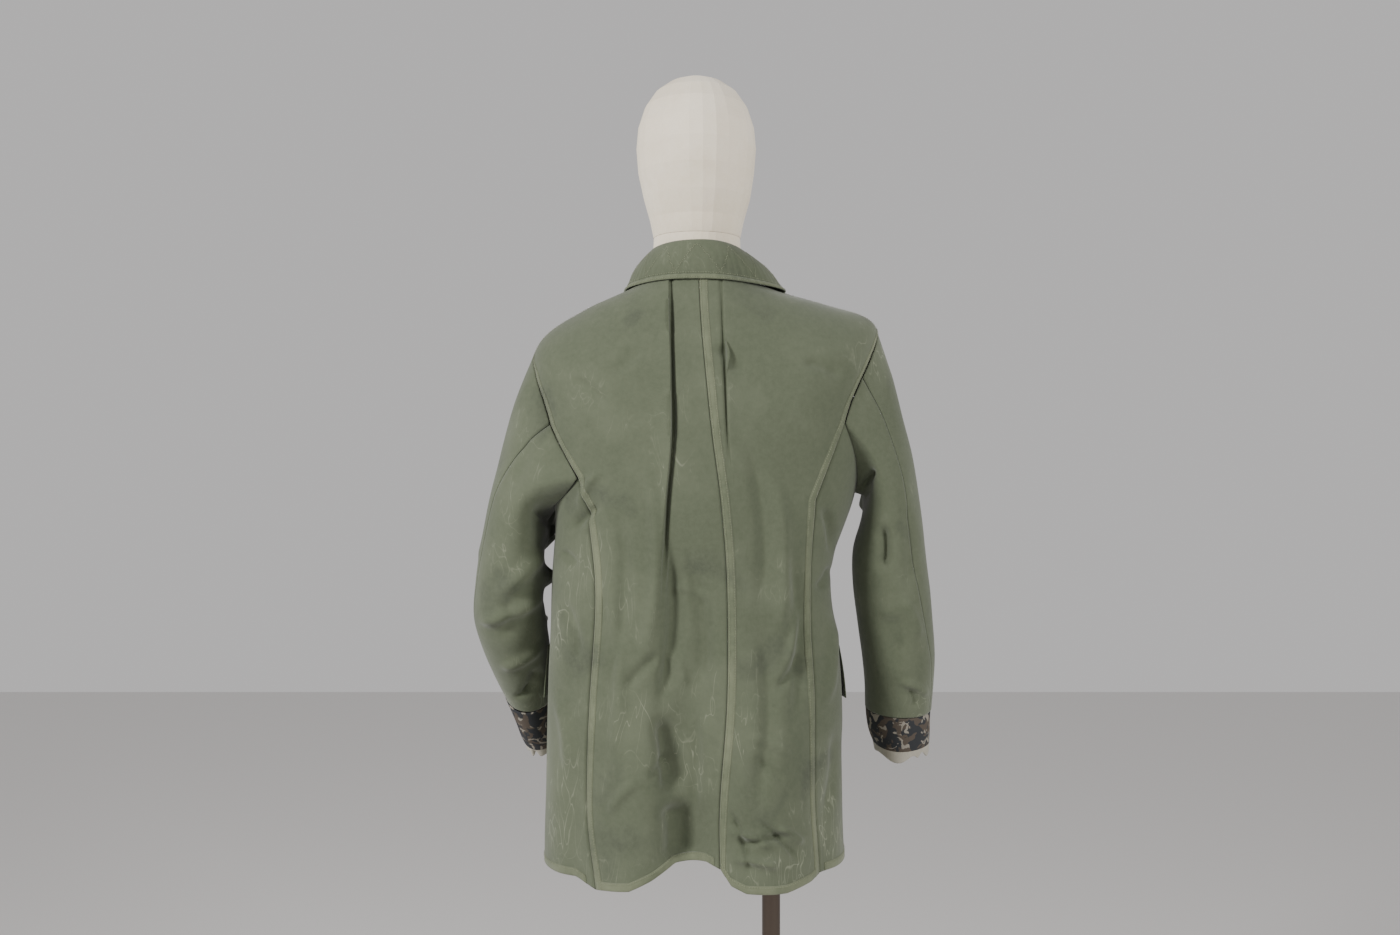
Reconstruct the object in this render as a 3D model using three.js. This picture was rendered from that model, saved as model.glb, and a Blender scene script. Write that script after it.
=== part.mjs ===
// A worn cotton field jacket on a linen-covered head-and-torso dress form with a pole stand.
// Millimetres, +Z up, origin under the base plate. The wearer faces +Y, so the back faces -Y and +X is the right side.
import * as THREE from "three";

// ---- driving sizes --------------------------------------------------------------------------------------------
const CLOTH = 1.2; // wall of one cloth panel
const SEAM_GAP = 0.8; // clear gap between neighbouring panels
const SQUARENESS = 2.4; // exponent of the super-ellipse of every body section
const BUTTON = { count: 5, radius: 8.5, thick: 3.2, top: 1390, bottom: 890 };
const POLE = { radius: 12, x: 98, y: 0 };
const BASE = { radius: 190, thick: 8 };
const FORM_BOTTOM = 1.35; // section number at which the torso form ends
const NECK_SEAM = 1588; // height where the head cover meets the neck
const DEGREE = Math.PI / 180;

// Body sections, one row each, from the hem up to the neckline. The z columns give the height of the section at the
// centre back, at each side and at the centre front; left, right, back and front are its reaches from the axis.
// centre, pleatL, pleatR, seamL and seamR are the x places of the back seams and pleats. The hem's height comes from HEM.
const SECTIONS = [
  { name: "hem", zBack: 780, zLeft: 774, zRight: 781, zFront: 782, left: 199, right: 194, back: 148, front: 138, centre: 29, pleatL: -46, pleatR: 52, seamL: -124, seamR: 152 },
  { name: "hip", zBack: 870, zLeft: 870, zRight: 870, zFront: 870, left: 198, right: 190, back: 142, front: 136, centre: 28, pleatL: -45, pleatR: 50, seamL: -137, seamR: 148 },
  { name: "seat", zBack: 1000, zLeft: 1000, zRight: 1000, zFront: 1000, left: 195, right: 191, back: 133, front: 132, centre: 37, pleatL: -44, pleatR: 56, seamL: -133, seamR: 147 },
  { name: "waist", zBack: 1140, zLeft: 1140, zRight: 1140, zFront: 1140, left: 190, right: 176, back: 126, front: 128, centre: 37, pleatL: -42, pleatR: 54, seamL: -127, seamR: 143 },
  { name: "underarm", zBack: 1240, zLeft: 1236, zRight: 1254, zFront: 1240, left: 187, right: 208, back: 127, front: 128, centre: 30, pleatL: -36, pleatR: 44, seamL: -138, seamR: 149 },
  { name: "blade", zBack: 1325, zLeft: 1345, zRight: 1368, zFront: 1320, left: 205, right: 222, back: 127, front: 118, centre: 19, pleatL: -29, pleatR: 38, seamL: -160, seamR: 189 },
  { name: "shoulder point", zBack: 1402, zLeft: 1439, zRight: 1469, zFront: 1385, left: 212, right: 235, back: 117, front: 94, centre: 11, pleatL: -30, pleatR: 35, seamL: 0, seamR: 0 },
  { name: "mid shoulder", zBack: 1473, zLeft: 1492, zRight: 1500, zFront: 1428, left: 150, right: 165, back: 97, front: 74, centre: 5, pleatL: -32, pleatR: 32, seamL: 0, seamR: 0 },
  { name: "neckline", zBack: 1536, zLeft: 1521, zRight: 1523, zFront: 1455, left: 76, right: 84, back: 75, front: 66, centre: 2, pleatL: -33, pleatR: 30, seamL: 0, seamR: 0 },
];
const SHOULDER_ROW = 6;
const NECK_ROW = 8;

// Height of the hem's edge along the back and the front, by x.
const HEM = {
  back: [
    { x: -200, z: 774 }, { x: -150, z: 777 }, { x: -125, z: 768 }, { x: -82, z: 772 }, { x: -55, z: 784 },
    { x: -25, z: 801 }, { x: 12, z: 803 }, { x: 30, z: 797 }, { x: 42, z: 779 }, { x: 60, z: 771 },
    { x: 110, z: 769 }, { x: 142, z: 775 }, { x: 152, z: 781 }, { x: 195, z: 781 },
  ],
  front: [
    { x: -200, z: 774 }, { x: -120, z: 770 }, { x: -60, z: 779 }, { x: 20, z: 774 }, { x: 80, z: 782 },
    { x: 130, z: 774 }, { x: 195, z: 781 },
  ],
};

// The largest folds: vertical flutes that open towards the hem. x at the hem and at their top, the height they fade
// out at, half width and depth, where a positive depth stands out of the cloth.
const FLUTES = {
  back: [
    { x: -88, topX: -70, topZ: 1180, half: 40, depth: 12 },
    { x: -6, topX: -12, topZ: 1260, half: 30, depth: -26 },
    { x: 92, topX: 80, topZ: 1180, half: 52, depth: 20 },
    { x: 158, topX: 152, topZ: 1050, half: 16, depth: -9 },
    { x: -150, topX: -150, topZ: 1100, half: 18, depth: -7 },
  ],
  front: [
    { x: -118, topX: -90, topZ: 1200, half: 34, depth: 10 },
    { x: -66, topX: -56, topZ: 1150, half: 26, depth: -8 },
    { x: 76, topX: 66, topZ: 1150, half: 26, depth: -9 },
    { x: 132, topX: 100, topZ: 1180, half: 30, depth: 10 },
  ],
};

// Armhole of each side. Rows climb from the underarm corner, where the side seam ends, to the shoulder point; back and
// front are the angles, in degrees from the side, at which the armhole cuts that section. dip shapes its lowest part.
const ARMHOLES = {
  left: {
    sign: -1, seam: "seamL", reach: "left", height: "zLeft", dip: 2.4,
    rows: [
      { row: 4.35, back: 42.5, front: 42 }, { row: 4.65, back: 36, front: 38 }, { row: 5, back: 27, front: 32 },
      { row: 5.35, back: 23, front: 27 }, { row: 5.7, back: 16, front: 18 }, { row: 6, back: 0, front: 0 },
    ],
  },
  right: {
    sign: 1, seam: "seamR", reach: "right", height: "zRight", dip: 1.5,
    rows: [
      { row: 4.9, back: 35, front: 38 }, { row: 5.15, back: 32, front: 35 }, { row: 5.4, back: 27, front: 30 },
      { row: 5.65, back: 20, front: 23 }, { row: 5.85, back: 12, front: 14 }, { row: 6, back: 0, front: 0 },
    ],
  },
};

// Sleeve sections: the outer and the inner point as seen from behind (ox, oz, ix, iz), their y, the reach to the back
// and to the front, the forward tilt of the section and the turn of the seams about the arm, in degrees.
const SLEEVES = {
  left: [
    { ox: -212, oz: 1439, ix: -180, iz: 1236, y: 0, back: 78, front: 76, tilt: 0, turn: 0 },
    { ox: -235, oz: 1382, ix: -202, iz: 1222, y: -2, back: 72, front: 70, tilt: 0, turn: -10 },
    { ox: -252, oz: 1325, ix: -205, iz: 1204, y: -2, back: 67, front: 65, tilt: 0, turn: -26 },
    { ox: -268, oz: 1265, ix: -206, iz: 1178, y: 0, back: 63, front: 61, tilt: 0, turn: -44 },
    { ox: -282, oz: 1200, ix: -204, iz: 1147, y: 4, back: 59, front: 58, tilt: 4, turn: -56 },
    { ox: -293, oz: 1138, ix: -205, iz: 1108, y: 11, back: 56, front: 56, tilt: 10, turn: -64 },
    { ox: -298, oz: 1094, ix: -203, iz: 1076, y: 24, back: 53, front: 54, tilt: 20, turn: -66 },
    { ox: -291, oz: 1056, ix: -201, iz: 1045, y: 44, back: 50, front: 50, tilt: 32, turn: -64 },
    { ox: -280, oz: 1018, ix: -201, iz: 1010, y: 68, back: 46, front: 46, tilt: 38, turn: -60 },
    { ox: -267, oz: 982, ix: -200, iz: 978, y: 90, back: 43, front: 43, tilt: 38, turn: -56 },
  ],
  right: [
    { ox: 235, oz: 1469, ix: 203, iz: 1254, y: 0, back: 76, front: 76, tilt: 0, turn: 0 },
    { ox: 256, oz: 1406, ix: 219, iz: 1247, y: 0, back: 70, front: 70, tilt: 0, turn: 0 },
    { ox: 270, oz: 1350, ix: 221, iz: 1233, y: 0, back: 66, front: 66, tilt: 0, turn: -2 },
    { ox: 284, oz: 1290, ix: 217, iz: 1210, y: 2, back: 63, front: 62, tilt: 0, turn: -5 },
    { ox: 296, oz: 1218, ix: 209, iz: 1175, y: 4, back: 60, front: 60, tilt: 2, turn: -8 },
    { ox: 304, oz: 1150, ix: 209, iz: 1130, y: 8, back: 57, front: 58, tilt: 4, turn: -12 },
    { ox: 311, oz: 1090, ix: 214, iz: 1082, y: 13, back: 55, front: 56, tilt: 6, turn: -20 },
    { ox: 316, oz: 1040, ix: 221, iz: 1036, y: 19, back: 53, front: 53, tilt: 8, turn: -30 },
    { ox: 315, oz: 1000, ix: 226, iz: 999, y: 25, back: 50, front: 50, tilt: 9, turn: -34 },
    { ox: 313, oz: 966, ix: 228, iz: 966, y: 30, back: 47, front: 47, tilt: 10, turn: -34 },
  ],
};
// Turned-out cuff linings and the raw bindings below them carry on from the last sleeve section.
const CUFFS = {
  left: [
    { ox: -254, oz: 940, ix: -197, iz: 940, y: 113, back: 41, front: 40, tilt: 37, turn: -54 },
    { ox: -246, oz: 914, ix: -194, iz: 918, y: 127, back: 38, front: 38, tilt: 36, turn: -54 },
  ],
  right: [
    { ox: 312, oz: 938, ix: 233, iz: 936, y: 33, back: 45, front: 45, tilt: 10, turn: -34 },
    { ox: 311, oz: 921, ix: 238, iz: 918, y: 36, back: 43, front: 43, tilt: 10, turn: -34 },
  ],
};
const BINDINGS = {
  left: [
    { ox: -242, oz: 904, ix: -193, iz: 909, y: 132, back: 37, front: 37, tilt: 36, turn: -54 },
  ],
  right: [
    { ox: 310, oz: 910, ix: 240, iz: 907, y: 37, back: 42, front: 42, tilt: 10, turn: -34 },
  ],
};
const ARMHOLE_FADE = [1, 0.62, 0.3, 0.1, 0.02]; // how much of the armhole's own shape each sleeve section keeps

// Collar: the roll line at the top of the stand and the free edge of the fall.
const COLLAR = {
  roll: { left: 60, right: 62, back: 80, front: 76, zBack: 1573, zSide: 1565, zFront: 1497 },
  edgeRow: { back: 7.8, left: 7.76, right: 7.62, front: 7.35 },
  lift: 3.4, // clear height of the fall's edge over the shoulder cloth
  bulge: 5,
  opening: 9, // half angle of the gap at the throat, in degrees
};

// Head and neck of the dress form: height, half width, reach to the back and to the front.
const HEAD = [
  { z: NECK_SEAM + 0.3, half: 57.5, back: 62, front: 52, middle: 0 },
  { z: 1612, half: 62.5, back: 68, front: 62, middle: 0 },
  { z: 1640, half: 70.5, back: 82, front: 80, middle: 0 },
  { z: 1672, half: 76.5, back: 94, front: 88, middle: -1 },
  { z: 1704, half: 79, back: 99, front: 92, middle: -1 },
  { z: 1732, half: 76.5, back: 96, front: 88, middle: -1 },
  { z: 1758, half: 68, back: 85, front: 77, middle: -1 },
  { z: 1778, half: 54.5, back: 67, front: 60, middle: -1 },
  { z: 1791, half: 37, back: 45, front: 40, middle: -1 },
  { z: 1798, half: 19, back: 23, front: 20, middle: -1 },
];
const HEAD_TOP = { x: -1, y: -2, z: 1800 };
const HEAD_SIDES = 28;

// ---- numbers, tables and vectors --------------------------------------------------------------------------------
const mix = (a, b, t) => a + (b - a) * t;
const smooth = (t) => {
  const c = Math.min(1, Math.max(0, t));
  return c * c * (3 - 2 * c);
};
const signedPower = (value, power) => Math.sign(value) * Math.pow(Math.abs(value), power);
const V = (x, y, z) => new THREE.Vector3(x, y, z);

// A column of a table read as a smooth curve over the row number.
function column(table, name, row) {
  const last = table.length - 1;
  const i = Math.min(last - 1, Math.max(0, Math.floor(row)));
  const t = row - i;
  const at = (k) => {
    if (k < 0) return 2 * table[0][name] - table[1][name];
    if (k > last) return 2 * table[last][name] - table[last - 1][name];
    return table[k][name];
  };
  const [a, b, c, d] = [at(i - 1), at(i), at(i + 1), at(i + 2)];
  return b + 0.5 * t * (c - a + t * (2 * a - 5 * b + 4 * c - d + t * (3 * (b - c) + d - a)));
}

// A list of {x, z} points read as straight runs between them.
function heightAt(list, x) {
  let i = 0;
  while (i < list.length - 2 && x > list[i + 1].x) i += 1;
  const t = Math.min(1, Math.max(0, (x - list[i].x) / (list[i + 1].x - list[i].x)));
  return mix(list[i].z, list[i + 1].z, t);
}

// ---- the body's surface -------------------------------------------------------------------------------------------
// angle is 0 at the centre back, +90 degrees at the right side and 180 at the centre front.
const across = (angle) => signedPower(Math.sin(angle), 2 / SQUARENESS);
const along = (angle) => signedPower(Math.cos(angle), 2 / SQUARENESS);
const reachAt = (row, sign) => column(SECTIONS, sign < 0 ? "left" : "right", row);
const angleOfX = (x, row, atFront) => {
  const share = Math.min(1, Math.abs(x) / reachAt(row, x));
  const angle = Math.asin(Math.pow(share, SQUARENESS / 2));
  return Math.sign(x) * (atFront ? Math.PI - angle : angle);
};

const angleFromFront = (x, row) => Math.sign(x) * Math.asin(Math.pow(Math.abs(x) / reachAt(row, x), SQUARENESS / 2));

function fluteDepth(x, z, list) {
  return list.reduce((sum, f) => {
    const open = smooth((f.topZ - z) / (f.topZ - 800));
    const centre = mix(f.topX, f.x, open);
    return sum + f.depth * open * Math.exp(-(((x - centre) / f.half) ** 2));
  }, 0);
}

// The cloth's middle surface, moved out by lift.
function bodyPlain(angle, row) {
  const side = angle < 0 ? "left" : "right";
  const sideZ = side === "left" ? "zLeft" : "zRight";
  const backHalf = Math.cos(angle) >= 0;
  const centreZ = backHalf ? "zBack" : "zFront";
  const x = column(SECTIONS, side, row) * across(angle);
  const y = -column(SECTIONS, backHalf ? "back" : "front", row) * along(angle);
  const rise = Math.sin(angle) ** 2;
  let z = mix(column(SECTIONS, centreZ, row), column(SECTIONS, sideZ, row), rise);
  if (row < 1) {
    const plain = mix(SECTIONS[0][centreZ], SECTIONS[0][sideZ], rise);
    z += (heightAt(backHalf ? HEM.back : HEM.front, x) - plain) * (1 - row);
  }
  const turned = Math.sqrt(Math.abs(Math.cos(angle)));
  const fold = fluteDepth(x, z, backHalf ? FLUTES.back : FLUTES.front) * turned;
  return V(x, y + (backHalf ? -fold : fold), z);
}

// A point keeps its own outward direction in .out, so that two panels meeting at a seam share it.
function body(angle, row, lift = 0) {
  const step = 0.02;
  const down = Math.max(0, row - step);
  const a = bodyPlain(angle + step, row).sub(bodyPlain(angle - step, row));
  const b = bodyPlain(angle, Math.min(NECK_ROW, row + step)).sub(bodyPlain(angle, down));
  const out = a.cross(b).normalize();
  const p = bodyPlain(angle, row).addScaledVector(out, lift);
  p.out = out;
  return p;
}

// ---- walls from grids of points -------------------------------------------------------------------------------
function gridNormals(grid, closed) {
  const rows = grid.length;
  const cols = grid[0].length;
  return grid.map((line, i) =>
    line.map((p, j) => {
      const left = closed ? (j + cols - 1) % cols : Math.max(0, j - 1);
      const right = closed ? (j + 1) % cols : Math.min(cols - 1, j + 1);
      const a = line[right].clone().sub(line[left]);
      const b = grid[Math.min(rows - 1, i + 1)][j].clone().sub(grid[Math.max(0, i - 1)][j]);
      const seam = !closed && (j === 0 || j === cols - 1);
      return seam && p.out ? p.out : a.cross(b).normalize();
    }),
  );
}

function geometryOf(triangles) {
  const geometry = new THREE.BufferGeometry();
  const numbers = triangles.flatMap((t) => t.flatMap((p) => [p.x, p.y, p.z]));
  geometry.setAttribute("position", new THREE.Float32BufferAttribute(numbers, 3));
  geometry.computeVertexNormals();
  return geometry;
}

// Cloth: a grid of middle points thickened to both sides, with its four edges closed (two, on a tube).
// Columns run along the cloth so that across x up points outwards.
function wall(grid, { thick = CLOTH, closed = false } = {}) {
  const normals = gridNormals(grid, closed);
  const rows = grid.length;
  const cols = grid[0].length;
  const skin = (side) =>
    grid.map((line, i) => line.map((p, j) => p.clone().addScaledVector(normals[i][j], (side * thick) / 2)));
  const outer = skin(1);
  const inner = skin(-1);
  const triangles = [];
  const quad = (a, b, c, d) => triangles.push([a, b, c], [a, c, d]);
  const spans = closed ? cols : cols - 1;
  for (let i = 0; i < rows - 1; i += 1) {
    for (let j = 0; j < spans; j += 1) {
      const k = (j + 1) % cols;
      quad(outer[i][j], outer[i][k], outer[i + 1][k], outer[i + 1][j]);
      quad(inner[i][j], inner[i + 1][j], inner[i + 1][k], inner[i][k]);
    }
  }
  for (let j = 0; j < spans; j += 1) {
    const k = (j + 1) % cols;
    const top = rows - 1;
    quad(inner[0][j], inner[0][k], outer[0][k], outer[0][j]);
    quad(outer[top][j], outer[top][k], inner[top][k], inner[top][j]);
  }
  if (!closed) {
    const end = cols - 1;
    for (let i = 0; i < rows - 1; i += 1) {
      quad(inner[i][0], outer[i][0], outer[i + 1][0], inner[i + 1][0]);
      quad(outer[i][end], inner[i][end], inner[i + 1][end], outer[i + 1][end]);
    }
  }
  return geometryOf(triangles);
}

// A closed solid through rings that climb, with a flat fan below and a fan to a top point.
function solidOfRings(rings, bottom, top) {
  const triangles = [];
  const count = rings[0].length;
  for (let i = 0; i < rings.length - 1; i += 1) {
    for (let j = 0; j < count; j += 1) {
      const k = (j + 1) % count;
      triangles.push([rings[i][j], rings[i][k], rings[i + 1][k]]);
      triangles.push([rings[i][j], rings[i + 1][k], rings[i + 1][j]]);
    }
  }
  for (let j = 0; j < count; j += 1) {
    const k = (j + 1) % count;
    const last = rings[rings.length - 1];
    triangles.push([bottom, rings[0][k], rings[0][j]]);
    triangles.push([top, last[j], last[k]]);
  }
  return geometryOf(triangles);
}

// Pulls the first and last column, and if asked the first and last row, back from their neighbours' edges.
function trimmed(grid, { sides = true, top = false, bottom = false, extra = 0 } = {}) {
  const pull = (p, q, more = 0) => {
    const away = q.clone().sub(p).normalize();
    const across = p.out ? Math.abs(away.dot(p.out)) : 0;
    const moved = p.clone().addScaledVector(away, SEAM_GAP / 2 + CLOTH * 1.9 * across + more);
    moved.out = p.out;
    return moved;
  };
  let made = grid;
  if (sides) {
    made = made.map((line) => {
      const end = line.length - 1;
      return line.map((p, j) => (j === 0 ? pull(p, line[1]) : j === end ? pull(p, line[end - 1]) : p));
    });
  }
  const last = made.length - 1;
  if (top) made = made.map((line, i) => (i === last ? line.map((p, j) => pull(p, made[i - 1][j], extra)) : line));
  if (bottom) made = made.map((line, i) => (i === 0 ? line.map((p, j) => pull(p, made[1][j])) : line));
  return made;
}

// ---- cloth panels of the body ------------------------------------------------------------------------------------
const LOW_ROWS = [0, 0.4, 0.8, 1.2, 1.7, 2.2, 2.7, 3.2, 3.7];
const SHOULDER_ROWS = [6.4, 6.8, 7.2, 7.6, 8];
const panelRows = (hole) => [...LOW_ROWS, ...hole.rows.map((r) => r.row), ...SHOULDER_ROWS];

// x of a panel's outer edge: the side seam, then the armhole, then the shoulder seam.
function outerEdge(hole, row, atFront) {
  const { rows, sign } = hole;
  if (row > SHOULDER_ROW) return sign * reachAt(row, sign);
  const corner = rows[0];
  const key = atFront ? "front" : "back";
  let open = corner[key];
  const i = rows.findIndex((r, k) => k > 0 && row <= r.row + 1e-9 && row >= rows[k - 1].row - 1e-9);
  if (i > 0) open = mix(rows[i - 1][key], rows[i][key], (row - rows[i - 1].row) / (rows[i].row - rows[i - 1].row));
  const hole_x = sign * reachAt(row, sign) * across((90 - open) * DEGREE);
  if (row >= corner.row || atFront) return hole_x;
  const cornerX = sign * reachAt(corner.row, sign) * across((90 - corner.back) * DEGREE);
  const seam = column(SECTIONS.slice(0, 5), hole.seam, Math.min(4, row));
  return row <= 4 ? seam : mix(seam, cornerX, (row - 4) / (corner.row - 4));
}

// The pleat's section: steps towards the side from the pleat line, and how far each stands out when it is open.
const PLEAT = [
  { step: -4, out: 0 }, { step: -1, out: -6 }, { step: 2, out: -6 }, { step: 3, out: 4.5 }, { step: 14, out: 4 },
  { step: 34, out: 0.5 },
];
const pleatOpen = (row, left) =>
  smooth((row - (left ? 3 : 4)) / 1.2) * (row > SHOULDER_ROW ? mix(1, 0.35, (row - SHOULDER_ROW) / 2) : 1);

const OUTER_SHARES = [0.2, 0.4, 0.6, 0.8, 1];

function backPanel(hole) {
  const left = hole.sign < 0;
  return panelRows(hole).map((row) => {
    const centre = column(SECTIONS, "centre", row);
    const edge = outerEdge(hole, row, false);
    const pleat = column(SECTIONS, left ? "pleatL" : "pleatR", row);
    const open = pleatOpen(row, left) * (left ? 1 : 0.6);
    const inside = [0, 0.55].map((t) => ({ x: mix(centre, pleat - hole.sign * 5, t), out: 0 }));
    const fold = PLEAT.map((p) => ({ x: pleat + hole.sign * p.step, out: p.out * open }));
    const points = [...inside, ...fold].map(({ x, out }) => body(angleOfX(x, row, false), row, out));
    const start = angleOfX(pleat + hole.sign * 34, row, false);
    const end = angleOfX(edge, row, false);
    OUTER_SHARES.forEach((t) => points.push(body(mix(start, end, t), row)));
    return left ? points.reverse() : points;
  });
}

function frontPanel(hole) {
  const left = hole.sign < 0;
  const overlap = 22;
  const lift = (x) => (left ? 3.2 * smooth((x + 46) / 18) : 0);
  return panelRows(hole).map((row) => {
    const edge = outerEdge(hole, row, true);
    const free = -hole.sign * overlap * (row > 7 ? mix(1, 0.45, row - 7) : 1);
    const shares = left ? [0, 0.1, 0.2, 0.34, 0.5, 0.66, 0.82, 1] : [0, 0.18, 0.34, 0.5, 0.66, 0.82, 1];
    const start = hole.sign * Math.PI - angleFromFront(free, row);
    const end = angleOfX(edge, row, true);
    const points = shares.map((t) => {
      const angle = mix(start, end, t);
      const x = reachAt(row, hole.sign) * across(angle);
      return body(angle, row, lift(x));
    });
    return left ? points : points.reverse();
  });
}

// The side panel runs from the back seam to the front seam; its top edge is the low part of the armhole.
const SIDE_SHARES = [0, 0.22, 0.5, 0.78, 1];
function sidePanel(hole) {
  const corner = hole.rows[0];
  const rows = [...LOW_ROWS, corner.row];
  return rows.map((row) => {
    const backX = outerEdge(hole, row, false);
    const frontX = outerEdge(hole, row, true);
    const from = Math.abs(angleOfX(backX, row, false));
    const to = Math.abs(angleOfX(frontX, row, true));
    const points = SIDE_SHARES.map((t) => {
      const bend = Math.abs(2 * t - 1) ** hole.dip;
      const topRow = mix(4, corner.row, bend);
      const here = (row / corner.row) * topRow;
      return body(hole.sign * mix(from, to, t), t === 0 || t === 1 ? row : here);
    });
    return hole.sign < 0 ? points.reverse() : points;
  });
}

// ---- sleeves ---------------------------------------------------------------------------------------------------
const ringPoint = (s, angle) => {
  const c = Math.cos(angle);
  const n = Math.sin(angle);
  const reach = n >= 0 ? s.back : s.front;
  const tilt = s.tilt * DEGREE;
  return V(
    (s.ox + s.ix) / 2 + ((s.ox - s.ix) / 2) * c,
    s.y - reach * n * Math.cos(tilt),
    (s.oz + s.iz) / 2 + ((s.oz - s.iz) / 2) * c - reach * n * Math.sin(tilt),
  );
};

// The armhole as a closed ring of body points: from the shoulder point down the back, under the arm, up the front.
function armholeRing(hole) {
  const edge = (key) =>
    hole.rows.map((r) => body(hole.sign * (key === "back" ? 90 - r.back : 90 + r.front) * DEGREE, r.row));
  const side = sidePanel(hole);
  const under = hole.sign < 0 ? side[side.length - 1].slice().reverse() : side[side.length - 1];
  return [...edge("back").reverse(), ...under.slice(1, -1), ...edge("front").slice(0, -1)];
}

function sleeveGrid(hole, table) {
  const ring = armholeRing(hole);
  const first = table[0];
  const centre = V((first.ox + first.ix) / 2, first.y, (first.oz + first.iz) / 2);
  const half = V(first.ox - first.ix, 0, first.oz - first.iz).multiplyScalar(0.5);
  const angles = ring.map((p) => {
    const d = p.clone().sub(centre);
    const angle = Math.atan2(-d.y / first.back, d.dot(half) / half.lengthSq());
    return angle < -1e-3 ? angle + 2 * Math.PI : angle;
  });
  angles[0] = 0;
  const rows = table.map((s, k) =>
    ring.map((p, j) => {
      const kept = ARMHOLE_FADE[k] ?? 0;
      const own = ringPoint(s, angles[j] + s.turn * DEGREE);
      const shape = p.clone().sub(ringPoint(first, angles[j]));
      own.addScaledVector(shape, kept);
      if (k === 0) own.out = p.out;
      return own;
    }),
  );
  // Rows climb from the cuff to the armhole, so that across x up points outwards.
  return { rows: rows.reverse(), angles };
}

function tubeOf(table, angles) {
  return table.map((s) => angles.map((a) => ringPoint(s, a + s.turn * DEGREE))).reverse();
}

// ---- collar ------------------------------------------------------------------------------------------------------
const COLLAR_STEPS = 22;
const collarAngles = Array.from({ length: COLLAR_STEPS + 1 }, (_, i) => {
  const limit = 180 - COLLAR.opening;
  return mix(-limit, limit, i / COLLAR_STEPS) * DEGREE;
});

function rollPoint(angle) {
  const r = COLLAR.roll;
  const backHalf = Math.cos(angle) >= 0;
  const x = (angle < 0 ? r.left : r.right) * across(angle);
  const y = -(backHalf ? r.back : r.front) * along(angle);
  return V(x, y, mix(backHalf ? r.zBack : r.zFront, r.zSide, Math.sin(angle) ** 2));
}

function collarEdge(angle) {
  const e = COLLAR.edgeRow;
  const centreRow = Math.cos(angle) >= 0 ? e.back : e.front;
  return body(angle, mix(centreRow, angle < 0 ? e.left : e.right, Math.sin(angle) ** 2), COLLAR.lift);
}

function standGrid() {
  return [0, 0.5, 1].map((t) =>
    collarAngles.map((angle) => {
      const low = body(angle, NECK_ROW);
      low.z += 1;
      const high = rollPoint(angle);
      high.z -= 1.4;
      return low.lerp(high, t);
    }),
  );
}

function fallGrid() {
  return [0, 0.3, 0.62, 1].reverse().map((t) =>
    collarAngles.map((angle) => {
      const high = rollPoint(angle);
      const p = high.clone().lerp(collarEdge(angle), t);
      const out = V(high.x, high.y, 0).normalize();
      const bulge = COLLAR.bulge * Math.sin(Math.PI * Math.min(1, t + 0.12));
      return p.addScaledVector(out, 1 + bulge).add(V(0, 0, bulge * 0.6));
    }),
  );
}

// ---- pockets and buttons -----------------------------------------------------------------------------------------
const POCKET = { from: 97, to: 158, low: 1.0, high: 2.1, left: 3.9, right: 3.2 };
const FLAP = { from: 95, to: 160, low: 1.84, high: 2.34, left: 6.7, right: 5.6, flare: 3 };

function patch(area, sign, columns, rows) {
  const side = sign < 0 ? "left" : "right";
  return Array.from({ length: rows + 1 }, (_, i) =>
    Array.from({ length: columns + 1 }, (_, j) => {
      const t = j / columns;
      const angle = sign * mix(area.from, area.to, t) * DEGREE;
      const flare = (area.flare ?? 0) * (1 - t) * (1 - i / rows);
      return body(angle, mix(area.low, area.high, i / rows), area[side] + flare);
    }),
  ).map((line) => (sign < 0 ? line.reverse() : line));
}

function buttonMesh(number) {
  const share = number / (BUTTON.count - 1);
  const z = mix(BUTTON.bottom, BUTTON.top, share);
  const row = rowAtHeight(z);
  const seat = body(Math.PI - 0.001, row, 3.2 + CLOTH / 2 + 0.7);
  const below = body(Math.PI - 0.001, row - 0.05, 0);
  const above = body(Math.PI - 0.001, row + 0.05, 0);
  const { radius, thick } = BUTTON;
  const profile = [
    [0, 0], [radius * 0.8, 0], [radius, 0.8], [radius, thick - 0.8], [radius * 0.86, thick], [radius * 0.66, thick - 0.9],
    [0, thick - 0.9],
  ].map(([r, h]) => new THREE.Vector2(r, h));
  const mesh = new THREE.Mesh(new THREE.LatheGeometry(profile, 20));
  mesh.position.copy(seat);
  mesh.rotation.x = Math.atan2(below.y - above.y, above.z - below.z);
  return mesh;
}

// Section number whose front centre lies at height z.
function rowAtHeight(z) {
  let low = 0;
  let high = NECK_ROW;
  for (let i = 0; i < 30; i += 1) {
    const middle = (low + high) / 2;
    if (bodyPlain(Math.PI - 0.001, middle).z < z) low = middle;
    else high = middle;
  }
  return low;
}

// ---- dress form and stand ----------------------------------------------------------------------------------------
// The torso keeps clear of the cloth everywhere, and carries it at the shoulders.
const FORM_SIDES = 36;
const FORM_ROWS = [FORM_BOTTOM, 1.8, 2.3, 2.8, 3.3, 3.8, 4.3, 4.8, 5.2, 5.6, 6, 6.4, 6.8, 7.2, 7.6, 8];
const NECK_RINGS = [
  { z: 1549, half: 59, back: 62, front: 56 },
  { z: NECK_SEAM, half: 57, back: 61.5, front: 51.5 },
];

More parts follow.
